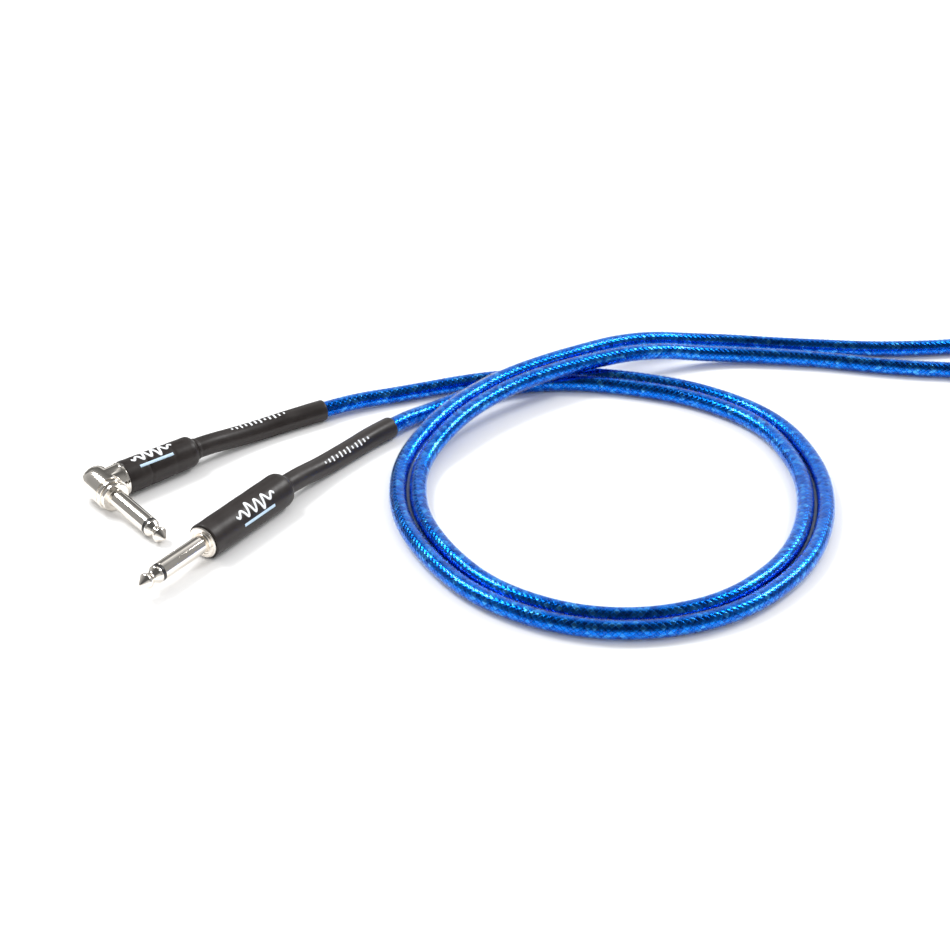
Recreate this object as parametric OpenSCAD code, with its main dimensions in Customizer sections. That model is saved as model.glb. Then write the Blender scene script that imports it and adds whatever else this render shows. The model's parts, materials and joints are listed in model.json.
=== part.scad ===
// Instrument cable: a clear-jacketed braided cable folded in half and laid in one loop, with a
// straight plug on one end and a right-angle plug on the other. Millimetres, +Z up. The table
// is the plane z = 0 and the origin is below the middle of the loop.

/* [Cable] */
// Outer diameter of the clear jacket
jacket_d = 6.8; // [6.6:0.1:6.9]
// Wall thickness of the clear jacket
jacket_wall = 0.82; // [0.7:0.02:0.9]
// Thickness of the braided shield
braid_wall = 0.25; // [0.2:0.05:0.3]
// Diameter of the copper conductor
conductor_d = 1.2; // [1:0.1:1.4]

/* [Loop] */
// Distance between the centres of the two strands that run side by side
strand_pitch = 7.2; // [7.1:0.1:7.4]
// Height of the strands' centres where they cross over the two leads
bridge_z = 10.5; // [10.4:0.1:11.5]
// Radius of the return bend at the far end of the fold
bight_r = 42; // [38:1:46]
// Distance from the loop's centre to the hinge line of the return bend
bight_x = 185; // [180:1:190]

/* [Plug shaft] */
// Diameter of the plug shaft
shaft_d = 6.35; // [6.3:0.01:6.4]
// Length of the shaft from flange to point
shaft_l = 30.6; // [30:0.1:31.5]
// Length of the tip contact in front of the insulating ring
tip_l = 8.5; // [8.3:0.1:9]
// Thickness of the insulating ring behind the tip
tip_ring_t = 1.3; // [1:0.1:1.6]

/* [Plug handles] */
// Outside diameter of the heat-shrink over the straight handle
straight_handle_d = 12.8; // [12.6:0.1:13.2]
// Outside diameter of the right-angle plug's heat-shrink at its front
angle_handle_d1 = 12.5; // [12.4:0.1:12.8]
// Outside diameter of the right-angle plug's heat-shrink at its rear
angle_handle_d2 = 11.6; // [11.6:0.1:12]
// Length of the straight plug's handle, from flange to rear shoulder
straight_handle_l = 42.9; // [42:0.1:45]
// Distance from the right-angle plug's shaft to its rear shoulder
angle_handle_l = 38.3; // [37.5:0.1:40]
// Length of the straight plug's strain-relief sleeve behind the handle
straight_sleeve_l = 60; // [58:0.5:61]
// Length of the right-angle plug's strain-relief sleeve behind the handle
angle_sleeve_l = 57; // [55:0.5:58]
// Outside diameter of the strain-relief sleeves
sleeve_d = 7.8; // [7.7:0.1:8]

/* [Placement] */
// Heading of the straight plug in the table plane
straight_heading = 56.3; // [56:0.1:56.6]
// Heading of the right-angle plug's handle
angle_heading = 42; // [41.6:0.1:42.4]
// Roll of the right-angle plug that drops its tip towards the table
angle_roll = 5; // [0:0.5:5]

/* [Hidden] */
$fn = 48;

// Colours
jacket_colour = [0.05, 0.35, 0.85, 0.6];
braid_colour = [0.15, 0.4, 0.8];
insulation_colour = [0.93, 0.92, 0.88];
copper_colour = [0.8, 0.45, 0.25];
nickel_colour = [0.82, 0.8, 0.76];
brass_colour = [0.8, 0.68, 0.35];
black_colour = [0.1, 0.1, 0.1];
shrink_colour = [0.17, 0.16, 0.16];
washer_colour = [0.55, 0.3, 0.2];
solder_colour = [0.7, 0.7, 0.72];

// Layer radii of the cable, with a fine gap between layers
layer_gap = 0.08;
jacket_r = jacket_d / 2;
jacket_in = jacket_r - jacket_wall;
braid_r = jacket_in - layer_gap;
braid_in = braid_r - braid_wall;
insulation_r = braid_in - layer_gap;
insulation_in = conductor_d / 2 + layer_gap;
conductor_r = conductor_d / 2;
table_z = jacket_r;

// Plug radii
shaft_r = shaft_d / 2;
shrink_t = 0.6;
shrink_to_barrel = shrink_t + 0.05;
handle_r = straight_handle_d / 2;
barrel_r = handle_r - shrink_to_barrel;
barrel_in = barrel_r - 0.7;
neck_r = barrel_in - 0.1;
liner_in = barrel_in - 0.6;
angle_handle_r1 = angle_handle_d1 / 2;
angle_handle_r2 = angle_handle_d2 / 2;
angle_barrel_in = angle_handle_r2 - shrink_to_barrel - 0.4;
angle_neck_r = angle_barrel_in - 0.1;
angle_liner_in = angle_barrel_in - 0.35;
sleeve_r = sleeve_d / 2;
sleeve_inside_l = 4;
rod_r = 1.25;
tube_in = rod_r + 0.05;
tube_r = 1.95;
shaft_in = tube_r + 0.05;
tag_t = 0.6;
press_gap = 0.05;

// Stub of cable between a sleeve and the first bend of its lead
stub_l = 5;
straight_flange = [-140.15, -38.05, handle_r];
angle_elbow = [-180.2, -1.3, angle_handle_r1 + 0.05];

// ---- Route of the cable -------------------------------------------------------------------

function unit(v) = v / norm(v);
function heading(a) = [cos(a), sin(a), 0];

// A sleeve sags from its handle to the table and bends a little towards the loop: the middle
// station is at this share of its length, at this height
sleeve_mid_at = 0.42;
sleeve_mid_z = 4.25;
sleeve_stop_z = 4.05;

// Point a given distance from p along a heading, at height z
function reach(p, a, length, z) = [p[0], p[1], z] + length * heading(a);

straight_rear = straight_flange + straight_handle_l * heading(straight_heading);
straight_sleeve_mid = reach(
    straight_rear, straight_heading - 0.9, sleeve_mid_at * straight_sleeve_l, sleeve_mid_z);
straight_sleeve_stop = reach(
    straight_sleeve_mid, straight_heading - 5.2, (1 - sleeve_mid_at) * straight_sleeve_l,
    sleeve_stop_z);
straight_stop_heading = straight_heading - 10.3;

angle_rear = angle_elbow + angle_handle_l * heading(angle_heading);
angle_sleeve_mid = reach(
    angle_rear, angle_heading - 0.7, sleeve_mid_at * angle_sleeve_l, sleeve_mid_z);
angle_sleeve_stop = reach(
    angle_sleeve_mid, angle_heading - 7.6, (1 - sleeve_mid_at) * angle_sleeve_l,
    sleeve_stop_z);
angle_stop_heading = angle_heading - 11;

// Bends that join a lead to its plug and to the loop
straight_lift_pivot = straight_sleeve_stop + stub_l * heading(straight_stop_heading);
angle_twist_pivot = angle_sleeve_stop + stub_l * heading(angle_stop_heading);
straight_swing_pivot = [-64.5, 60.2, table_z];
angle_swing_pivot = [-72, 75, table_z];

// First pass round the loop. Each row is x, y, height of the outer strand's centre and the
// distance to the inner strand that lies beside it. It runs clockwise from the back.
loop_rows = [
    [-12, 89, table_z, strand_pitch],
    [17, 84.2, table_z, strand_pitch],
    [42, 73.5, table_z, strand_pitch],
    [64, 53, table_z, strand_pitch],
    [75.4, 20, table_z, strand_pitch],
    [73.4, -17, table_z, strand_pitch],
    [57, -53, table_z, strand_pitch],
    [28, -77.2, table_z, strand_pitch],
    [-9, -83, table_z, strand_pitch],
    [-42, -69, table_z, strand_pitch],
    [-65, -40, table_z + 0.05, strand_pitch],
    [-75.6, -5, table_z + 0.15, strand_pitch],
    [-73.8, 20, table_z + 1.4, strand_pitch],
    [-62.5, 43, bridge_z - 2, strand_pitch],
    [-44, 66, bridge_z, strand_pitch + 0.2],
    [-12, 91.2, bridge_z + 0.3, strand_pitch + 1.6],
    [18, 108.6, table_z + 5.6, strand_pitch + 4.3],
    [48, 116.6, table_z + 1.2, strand_pitch + 4.8],
    [85, 114.4, table_z + 0.1, strand_pitch + 4.2],
    [120, 112, table_z, strand_pitch + 9],
    [150, 114.5, table_z, strand_pitch + 16.5]
];

// Hidden part of each lead, under the crossing
outer_start = [angle_swing_pivot, [-43, 85, table_z]];
inner_start = [straight_swing_pivot, [-41, 76.6, table_z]];

// Return bend, a round end with its middle on the line between the two strands
bight_mid = [bight_x + 50, 100, table_z];
outer_hinge = [bight_x, 125, table_z];
inner_hinge = [bight_x, 76, table_z];

function xyz(row) = [row[0], row[1], row[2]];
// Direction at the middle of three points, along the circle through them
function circle_tangent(a, b, c) =
    let (u = b - a, w = c - b)
    unit(u / (u * u) + w / (w * w));
// Right-hand side of a direction, level with the table
function right_of(t) = unit([t[1], -t[0], 0]);
function beside(i) =
    let (a = xyz(loop_rows[max(i - 1, 0)]), b = xyz(loop_rows[i]),
        c = xyz(loop_rows[min(i + 1, len(loop_rows) - 1)]),
        t = a == b ? unit(c - b) : b == c ? unit(b - a) : circle_tangent(a, b, c))
    b + loop_rows[i][3] * right_of(t);

outer_points = concat(outer_start, [for (row = loop_rows) xyz(row)], [outer_hinge]);
inner_points = concat(inner_start, [for (i = [0:len(loop_rows) - 1]) beside(i)], [inner_hinge]);
bight_points = concat(
    [outer_hinge],
    [for (a = [100:-50:-100]) bight_mid + bight_r * heading(a)],
    [inner_hinge]
);
outer_bight_heading = 19;
inner_bight_heading = -24;
swing_heading_outer = 21;
swing_heading_inner = 39.5;

// Tangent at every station: given at both ends, and taken from the neighbours between them
function tangents(points, t_first, t_last) = [
    for (i = [0:len(points) - 1])
        i == 0 ? t_first
        : i == len(points) - 1 ? t_last
        : circle_tangent(points[i - 1], points[i], points[i + 1])
];
// Point and direction where the two arcs between two stations meet
function biarc(p0, t0, p1, t1) =
    let (v = p1 - p0, s = v * (t0 + t1), k = 2 * (1 - t0 * t1),
        d = v * v / (s + sqrt(s * s + k * (v * v))),
        q0 = p0 + d * t0, q1 = p1 - d * t1)
    [(q0 + q1) / 2, unit(q1 - q0)];
// Route as a chain of [point, direction], with a circular arc between every two
function chain(points, t_first, t_last) =
    let (t = tangents(points, t_first, t_last), last = len(points) - 1)
    concat(
        [for (i = [0:last - 1]) each [
            [points[i], t[i]],
            biarc(points[i], t[i], points[i + 1], t[i + 1])
        ]],
        [[points[last], t[last]]]
    );

outer_chain = chain(outer_points, heading(swing_heading_outer), heading(outer_bight_heading));
inner_chain = chain(inner_points, heading(swing_heading_inner), heading(inner_bight_heading));
bight_chain = chain(
    bight_points, heading(outer_bight_heading), heading(180 + inner_bight_heading));
straight_lead_chain = chain(
    [straight_lift_pivot, straight_swing_pivot],
    heading(straight_stop_heading), heading(swing_heading_inner));
angle_lead_chain = chain(
    [angle_twist_pivot, angle_swing_pivot],
    heading(angle_stop_heading), heading(swing_heading_outer));
straight_sleeve_chain = chain(
    [straight_rear, straight_sleeve_mid, straight_sleeve_stop],
    heading(straight_heading), heading(straight_stop_heading));
angle_sleeve_chain = chain(
    [angle_rear, angle_sleeve_mid, angle_sleeve_stop],
    heading(angle_heading), heading(angle_stop_heading));

// Cable's route inside a plug, from a cut end at p to the stub's end
function straight_end_stops(z) = concat(
    [[straight_flange + z * heading(straight_heading), heading(straight_heading)]],
    straight_sleeve_chain,
    [[straight_lift_pivot, heading(straight_stop_heading)]]);
function angle_end_stops(z) = concat(
    [[angle_elbow + z * heading(angle_heading), heading(angle_heading)]],
    angle_sleeve_chain,
    [[angle_twist_pivot, heading(angle_stop_heading)]]);

// Room that each bend needs, on each side of its cut
seam_gap = 0.05;
swing_gap = 1.2;
lift_gap = 1.5;
twist_gap = 0.3;
bight_gap = 1.3;
seam_l = 1;
seam_lip = 0.02;
straight_bend_r = 1500;

// One layer of cable: a disc, or a ring when it has an inner radius
module layer_profile(r, r_in) {
    difference() {
        circle(r);
        if (r_in > 0) circle(r_in);
    }
}

module along(p, x, y, z) {
    multmatrix([
        [x[0], y[0], z[0], p[0]],
        [x[1], y[1], z[1], p[1]],
        [x[2], y[2], z[2], p[2]],
        [0, 0, 0, 1]
    ])
    children();
}

// A straight length that starts at p and runs along t
module straight_length(p, t, length, r, r_in) {
    side = unit(cross(abs(t[2]) > 0.9 ? [1, 0, 0] : [0, 0, 1], t));
    along(p, side, cross(t, side), t)
        linear_extrude(length) layer_profile(r, r_in);
}

// An arc from a to b, each [point, direction], shortened at each end
module arc_length(a, b, r, r_in, cut_a, cut_b) {
    chord = b[0] - a[0];
    turn = cross(a[1], chord);
    half = asin(min(1, norm(turn) / norm(chord)));
    bend_r = norm(chord) / (2 * sin(max(half, 0.001)));
    if (bend_r > straight_bend_r) {
        t = unit(chord);
        straight_length(a[0] + cut_a * t, t, norm(chord) - cut_a - cut_b, r, r_in);
    } else {
        axis = unit(turn);
        out = cross(a[1], axis);
        degrees_per_mm = 180 / (PI * bend_r);
        along(a[0] - bend_r * out, out, a[1], axis)
            rotate_extrude(
                start = cut_a * degrees_per_mm,
                angle = 2 * half - (cut_a + cut_b) * degrees_per_mm,
                $fn = 180)
            translate([bend_r, 0]) layer_profile(r, r_in);
    }
}

// A layer swept along a whole chain, with a short seam band at every arc's end
module swept_layer(stops, r, r_in, cut_first, cut_last) {
    last = len(stops) - 1;
    union() {
        for (i = [0:last - 1])
            arc_length(stops[i], stops[i + 1], r, r_in,
                i == 0 ? cut_first : seam_gap, i == last - 1 ? cut_last : seam_gap);
        for (i = [1:last - 1])
            straight_length(
                stops[i][0] - seam_l / 2 * stops[i][1], stops[i][1], seam_l,
                r + seam_lip, r_in > 0 ? r_in - seam_lip : 0);
    }
}

module outer_layer(r, r_in) {
    swept_layer(outer_chain, r, r_in, swing_gap, bight_gap);
}

module inner_layer(r, r_in) {
    swept_layer(inner_chain, r, r_in, swing_gap, bight_gap);
}

module bight_layer(r, r_in) {
    swept_layer(bight_chain, r, r_in, bight_gap, bight_gap);
}

module straight_lead_layer(r, r_in) {
    swept_layer(straight_lead_chain, r, r_in, lift_gap, swing_gap);
}

module angle_lead_layer(r, r_in) {
    swept_layer(angle_lead_chain, r, r_in, twist_gap, swing_gap);
}

module outer_loop_jacket() {
    color(jacket_colour) outer_layer(jacket_r, jacket_in);
}

module outer_loop_braid() {
    color(braid_colour) outer_layer(braid_r, braid_in);
}

module outer_loop_insulation() {
    color(insulation_colour) outer_layer(insulation_r, insulation_in);
}

module outer_loop_conductor() {
    color(copper_colour) outer_layer(conductor_r, 0);
}

module inner_loop_jacket() {
    color(jacket_colour) inner_layer(jacket_r, jacket_in);
}

module inner_loop_braid() {
    color(braid_colour) inner_layer(braid_r, braid_in);
}

module inner_loop_insulation() {
    color(insulation_colour) inner_layer(insulation_r, insulation_in);
}

module inner_loop_conductor() {
    color(copper_colour) inner_layer(conductor_r, 0);
}

module bight_jacket() {
    color(jacket_colour) bight_layer(jacket_r, jacket_in);
}

module bight_braid() {
    color(braid_colour) bight_layer(braid_r, braid_in);
}

module bight_insulation() {
    color(insulation_colour) bight_layer(insulation_r, insulation_in);
}

module bight_conductor() {
    color(copper_colour) bight_layer(conductor_r, 0);
}

module straight_lead_jacket() {
    color(jacket_colour) straight_lead_layer(jacket_r, jacket_in);
}

module straight_lead_braid() {
    color(braid_colour) straight_lead_layer(braid_r, braid_in);
}

module straight_lead_insulation() {
    color(insulation_colour) straight_lead_layer(insulation_r, insulation_in);
}

module straight_lead_conductor() {
    color(copper_colour) straight_lead_layer(conductor_r, 0);
}

module angle_lead_jacket() {
    color(jacket_colour) angle_lead_layer(jacket_r, jacket_in);
}

module angle_lead_braid() {
    color(braid_colour) angle_lead_layer(braid_r, braid_in);
}

module angle_lead_insulation() {
    color(insulation_colour) angle_lead_layer(insulation_r, insulation_in);
}

module angle_lead_conductor() {
    color(copper_colour) angle_lead_layer(conductor_r, 0);
}

// ---- Pieces that both plugs share ---------------------------------------------------------
// A plug is drawn along its own Z. The shaft points down, with its flange face at z = 0.

// Places a plug's Z along a heading in the table plane
module plug_frame(origin, direction) {
    translate(origin) rotate([0, 0, direction]) rotate([0, 90, 0]) children();
}

module straight_frame() {
    plug_frame(straight_flange, straight_heading) children();
}

module angle_frame() {
    plug_frame(angle_elbow, angle_heading) rotate([0, 0, angle_roll]) children();
}

module tube(r, r_in, z0, z1) {
    translate([0, 0, z0])
        difference() {
            cylinder(h = z1 - z0, r = r);
            translate([0, 0, -1]) cylinder(h = z1 - z0 + 2, r = r_in);
        }
}

// Round tip with a pointed nose, a waist and a shoulder, on a rod that runs back to rod_end
module tip_contact_shape(rod_end) {
    nose = -shaft_l;
    shoulder = nose + tip_l;
    head_r = 1.9;
    rotate_extrude()
        polygon([
            [0, nose], [0.45, nose + 0.05], [0.75, nose + 0.35], [2.6, nose + 2.75],
            [2.8, nose + 3.1], [2.82, nose + 3.5], [2.7, nose + 3.9], [2.1, nose + 5.1],
            [2, nose + 5.5], [2.1, nose + 5.9], [2.6, nose + 6.7], [3.1, nose + 7.5],
            [shaft_r, nose + 7.7], [shaft_r, shoulder], [rod_r, shoulder],
            [rod_r, rod_end - 0.8], [head_r, rod_end - 0.8], [head_r, rod_end - 0.2],
            [head_r - 0.3, rod_end], [0, rod_end]
        ]);
}

module tip_ring_shape() {
    front = -shaft_l + tip_l;
    tube(shaft_r, tube_in, front + 0.02, front + tip_ring_t);
}

module rod_insulator_shape(z1) {
    tube(tube_r, tube_in, -shaft_l + tip_l + tip_ring_t + 0.05, z1);
}

// Handle tube with a rounded rear end that narrows to the strain-relief sleeve
module barrel_shape(front, rear, r_front, r_rear, r_in) {
    lip_in = sleeve_r + 0.15;
    rotate_extrude()
        polygon([
            [r_in, front], [r_front, front], [r_rear, rear - 2.2], [r_rear - 0.3, rear - 1.2],
            [r_rear - 0.8, rear - 0.7], [lip_in, rear - 0.7], [lip_in, rear - 1.9],
            [r_in, rear - 1.9]
        ]);
}

// Heat-shrink over a handle, shrunk round the rear shoulder
module handle_shrink_shape(front, rear, r_front, r_rear) {
    lip_in = sleeve_r + 0.15;
    in_front = r_front - shrink_t;
    in_rear = r_rear - shrink_t;
    rotate_extrude()
        polygon([
            [in_front, front], [r_front - 0.3, front], [r_front, front + 0.6],
            [r_rear, rear - 2.4], [r_rear - 0.2, rear - 1.5], [r_rear - 0.7, rear - 0.7],
            [r_rear - 1.3, rear - 0.2], [lip_in, rear], [lip_in, rear - 0.62],
            [in_rear - 0.75, rear - 0.62], [in_rear - 0.25, rear - 1.15], [in_rear, rear - 2.2]
        ]);
}

// Sleeve over the cable, which starts inside the handle
module strain_sleeve_shape(stops) {
    inside = [stops[0][0] - sleeve_inside_l * stops[0][1], stops[0][1]];
    swept_layer(concat([inside], stops), sleeve_r, jacket_r + layer_gap, 0, 0);
}

// Flat solder tag: an eye on the rod and a tongue that runs back beside the conductor
module tip_tag_shape(z0, tongue_z) {
    eye_r = 2.9;
    tongue_w = 2.4;
    tongue_y = 1.5;
    difference() {
        union() {
            translate([0, 0, z0]) cylinder(h = tag_t, r = eye_r);
            translate([-tongue_w / 2, tongue_y, z0])
                cube([tongue_w, tag_t, tongue_z - z0]);
        }
        translate([0, 0, z0 - 1]) cylinder(h = tag_t + 1.05, r = tube_in);
        translate([0, 0, z0 + tag_t]) cylinder(h = 1.5, r = 2);
    }
}

// Ground strap that runs back beside the wires and closes round the jacket
module cable_clamp_shape(z0, eye_in, eye_out, hoop_z) {
    hoop_l = 5;
    strap_w = 2.6;
    hoop_in = jacket_r + press_gap;
    hoop_out = hoop_in + tag_t;
    difference() {
        union() {
            tube(eye_out, eye_in, z0, z0 + tag_t);
            translate([-strap_w / 2, -hoop_out, z0]) cube([strap_w, tag_t, hoop_z - z0 + 1]);
            difference() {
                tube(hoop_out, hoop_in, hoop_z, hoop_z + hoop_l);
                translate([-1, 0, hoop_z - 1]) cube([2, hoop_out + 1, hoop_l + 2]);
            }
        }
        translate([0, 0, z0 + tag_t]) cylinder(h = hoop_z + hoop_l, r = hoop_in);
    }
}

// ---- Straight plug ------------------------------------------------------------------------

flange_t = 1.8;
flange_r = barrel_r - 0.02;
shrink_front = 0.9;
neck_end = 9;
clamp_z = neck_end + press_gap;
washer_z = clamp_z + tag_t + press_gap;
washer_t = 1;
tag_z = washer_z + washer_t + press_gap;
rod_end = tag_z + tag_t + press_gap + 0.8;
hoop_z = 27;
jacket_cut = 25;
braid_cut = 22.5;
insulation_cut = 19;
conductor_cut = 14.5;
tongue_end = 17.5;

module straight_tip_contact() {
    color(nickel_colour) straight_frame() tip_contact_shape(rod_end);
}

module straight_tip_ring() {
    color(black_colour) straight_frame() tip_ring_shape();
}

module straight_rod_insulator() {
    color(insulation_colour) straight_frame() rod_insulator_shape(washer_z - press_gap);
}

// Shaft sleeve with its flange and the threaded neck that takes the handle
module straight_sleeve_contact() {
    shaft_front = -shaft_l + tip_l + tip_ring_t + 0.02;
    color(nickel_colour)
    straight_frame()
        difference() {
            union() {
                translate([0, 0, shaft_front]) cylinder(h = 1 - shaft_front, r = shaft_r);
                cylinder(h = 0.6, r1 = flange_r - 0.4, r2 = flange_r);
                translate([0, 0, 0.6]) cylinder(h = flange_t - 0.6, r = flange_r);
                translate([0, 0, 1]) cylinder(h = neck_end - 1, r = neck_r);
            }
            translate([0, 0, shaft_front - 1])
                cylinder(h = neck_end - shaft_front + 2, r = shaft_in);
            translate([0, 0, -1]) foot_groove_shape();
        }
}

// Shallow groove round the foot of the shaft
module foot_groove_shape() {
    difference() {
        cylinder(h = 1.4, r = 4.3);
        cylinder(h = 1.4, r = shaft_r);
    }
}

module straight_cable_clamp() {
    color(brass_colour)
    straight_frame() cable_clamp_shape(clamp_z, shaft_in, neck_r - 0.7, hoop_z);
}

module straight_rear_washer() {
    color(washer_colour) straight_frame() tube(2.8, tube_in, washer_z, washer_z + washer_t);
}

module straight_tip_tag() {
    color(brass_colour) straight_frame() tip_tag_shape(tag_z, tongue_end);
}

// Solder round the conductor's end, and round the braid's end on the strap
module straight_solder_joints() {
    color(solder_colour)
    straight_frame() {
        tube(1.35, conductor_r + 0.02, conductor_cut + 0.3, conductor_cut + 2.4);
        tube(insulation_r + 0.75, insulation_r + 0.04, braid_cut - 1.6, braid_cut - 0.05);
    }
}

module straight_barrel() {
    color(nickel_colour)
    straight_frame()
        barrel_shape(flange_t + 0.05, straight_handle_l, barrel_r, barrel_r, barrel_in);
}

module straight_liner() {
    color(insulation_colour)
    straight_frame() tube(barrel_in - 0.15, liner_in, neck_end + 4, straight_handle_l - 5);
}

module straight_handle_shrink() {
    color(shrink_colour)
    straight_frame() handle_shrink_shape(shrink_front, straight_handle_l, handle_r, handle_r);
}

module straight_strain_sleeve() {
    color(shrink_colour) strain_sleeve_shape(straight_sleeve_chain);
}

module straight_end_jacket() {
    color(jacket_colour)
    swept_layer(straight_end_stops(jacket_cut), jacket_r, jacket_in, 0, lift_gap);
}

module straight_end_braid() {
    color(braid_colour)
    swept_layer(straight_end_stops(braid_cut), braid_r, braid_in, 0, lift_gap);
}

module straight_end_insulation() {
    color(insulation_colour)
    swept_layer(straight_end_stops(insulation_cut), insulation_r, insulation_in, 0, lift_gap);
}

module straight_end_conductor() {
    color(copper_colour)
    swept_layer(straight_end_stops(conductor_cut), conductor_r, 0, 0, lift_gap);
}

// ---- Right-angle plug ---------------------------------------------------------------------
// The handle runs along Z from the elbow, and the shaft leaves the elbow towards -Y.

elbow_tube_r = 5.7;
elbow_rim_r = 6.2;
elbow_rim_z = 6.9;
elbow_rim_end = 7.9;
elbow_neck_end = 15;
elbow_neck_in = 3.7;
drum_r = 5.9;
drum_in = 3.3;
drum_back = 7;
cap_t = 1.2;
cap_r = 3.6;
shank_r = 3.9;
sleeve_flange_r = 5.35;
sleeve_flange_t = 1.8;
angle_face_y = 8.7;
angle_washer_t = 0.8;
angle_hoop_z = 22;
angle_jacket_cut = 20;
angle_braid_cut = 17.5;
angle_insulation_cut = 10;
angle_conductor_cut = 3;

// Places a shaft piece, drawn along Z with the flange face at z = 0, on the elbow
module angle_shaft_frame() {
    angle_frame() on_shaft_axis() children();
}

module on_shaft_axis() {
    translate([0, -angle_face_y, 0]) rotate([-90, 0, 0]) children();
}

// Depth of the elbow's cavity and of its cap seat behind the flange face
cavity_depth = 4.5;
cap_seat = angle_face_y + drum_back - cap_t;
angle_washer_z = cavity_depth + press_gap;
angle_tag_z = angle_washer_z + angle_washer_t + press_gap;
angle_rod_end = angle_tag_z + tag_t + press_gap + 0.8;

module angle_tip_contact() {
    color(nickel_colour) angle_shaft_frame() tip_contact_shape(angle_rod_end);
}

module angle_tip_ring() {
    color(black_colour) angle_shaft_frame() tip_ring_shape();
}

module angle_rod_insulator() {
    color(insulation_colour) angle_shaft_frame() rod_insulator_shape(angle_washer_z - press_gap);
}

// Shaft sleeve with a round flange and a shank pressed into the elbow's collar
module angle_sleeve_contact() {
    shaft_front = -shaft_l + tip_l + tip_ring_t + 0.02;
    color(nickel_colour)
    angle_shaft_frame()
        difference() {
            union() {
                translate([0, 0, shaft_front]) cylinder(h = 1 - shaft_front, r = shaft_r);
                cylinder(h = 0.3, r1 = sleeve_flange_r - 0.3, r2 = sleeve_flange_r);
                translate([0, 0, 0.3])
                    cylinder(h = sleeve_flange_t - 0.35, r = sleeve_flange_r);
                translate([0, 0, 1]) cylinder(h = cavity_depth - 1, r = shank_r);
            }
            translate([0, 0, shaft_front - 1])
                cylinder(h = cavity_depth - shaft_front + 2, r = shaft_in);
        }
}

module angle_rear_washer() {
    color(washer_colour)
    angle_shaft_frame()
        tube(2.9, tube_in, angle_washer_z, angle_washer_z + angle_washer_t);
}

// Solder tag with an eye on the rod and a tongue towards the cable
module angle_tip_tag() {
    color(brass_colour)
    angle_shaft_frame()
        difference() {
            union() {
                translate([0, 0, angle_tag_z]) cylinder(h = tag_t, r = 2.6);
                translate([-1.1, -7.6, angle_tag_z]) cube([2.2, 7.6, tag_t]);
            }
            translate([0, 0, angle_tag_z - 1]) cylinder(h = tag_t + 2, r = tube_in);
        }
}

// Cast elbow: a drum round the shaft's axis with a collar ring, and a tube with a rim and a
// threaded neck towards the handle. The cap closes the drum's far end.
module angle_elbow_housing() {
    drum_end = angle_face_y + drum_back;
    color(nickel_colour)
    angle_frame()
        difference() {
            union() {
                on_shaft_axis()
                    rotate_extrude()
                    polygon([
                        [0, 1.8], [5.75, 1.8], [6, 2.05], [6, 3.35], [5.8, 3.6], [5.4, 3.6],
                        [5.4, 4.1], [drum_r - 0.1, 4.1], [drum_r, 4.3], [drum_r, 11.2],
                        [5.8, 12.7], [5.5, 14], [5.05, 14.9], [4.5, 15.5], [4.1, drum_end],
                        [0, drum_end]
                    ]);
                cylinder(h = elbow_rim_z + 0.1, r = elbow_tube_r);
                translate([0, 0, elbow_rim_z])
                    cylinder(h = elbow_rim_end - elbow_rim_z, r = elbow_rim_r);
                translate([0, 0, elbow_rim_z + 0.5])
                    cylinder(h = elbow_neck_end - elbow_rim_z - 0.5, r = angle_neck_r);
            }
            cylinder(h = elbow_neck_end + 1, r = elbow_neck_in);
            on_shaft_axis() {
                cylinder(h = cavity_depth, r = shank_r + press_gap);
                translate([0, 0, cavity_depth - 0.1])
                    cylinder(h = cap_seat - cavity_depth + 0.2, r = drum_in);
                translate([0, 0, cap_seat]) cylinder(h = cap_t + 1, r = cap_r + press_gap);
            }
        }
}

module angle_elbow_cap() {
    color(nickel_colour)
    angle_shaft_frame() translate([0, 0, cap_seat]) cylinder(h = cap_t, r = cap_r);
}

module angle_cable_clamp() {
    color(brass_colour)
    angle_frame()
        rotate([0, 0, 180])
        cable_clamp_shape(
            elbow_neck_end + press_gap, elbow_neck_in, angle_neck_r, angle_hoop_z);
}

module angle_solder_joints() {
    color(solder_colour)
    angle_frame() {
        tube(1.3, conductor_r + 0.02, angle_conductor_cut + 1.2, angle_conductor_cut + 3.6);
        tube(insulation_r + 0.6, insulation_r + 0.04,
            angle_braid_cut - 1.6, angle_braid_cut - 0.05);
    }
}

module angle_barrel() {
    color(nickel_colour)
    angle_frame()
        barrel_shape(
            elbow_rim_end + 0.05, angle_handle_l, angle_handle_r1 - shrink_to_barrel,
            angle_handle_r2 - shrink_to_barrel, angle_barrel_in);
}

module angle_liner() {
    color(insulation_colour)
    angle_frame()
        tube(angle_barrel_in - 0.05, angle_liner_in, elbow_neck_end + 2, angle_handle_l - 4);
}

module angle_handle_shrink() {
    color(shrink_colour)
    angle_frame()
        handle_shrink_shape(
            elbow_rim_end + 0.05, angle_handle_l, angle_handle_r1, angle_handle_r2);
}

module angle_strain_sleeve() {
    color(shrink_colour) strain_sleeve_shape(angle_sleeve_chain);
}

module angle_end_jacket() {
    color(jacket_colour)
    swept_layer(angle_end_stops(angle_jacket_cut), jacket_r, jacket_in, 0, twist_gap);
}

module angle_end_braid() {
    color(braid_colour)
    swept_layer(angle_end_stops(angle_braid_cut), braid_r, braid_in, 0, twist_gap);
}

module angle_end_insulation() {
    color(insulation_colour)
    swept_layer(
        angle_end_stops(angle_insulation_cut), insulation_r, insulation_in, 0, twist_gap);
}

module angle_end_conductor() {
    color(copper_colour)
    swept_layer(angle_end_stops(angle_conductor_cut), conductor_r, 0, 0, twist_gap);
}

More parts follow.
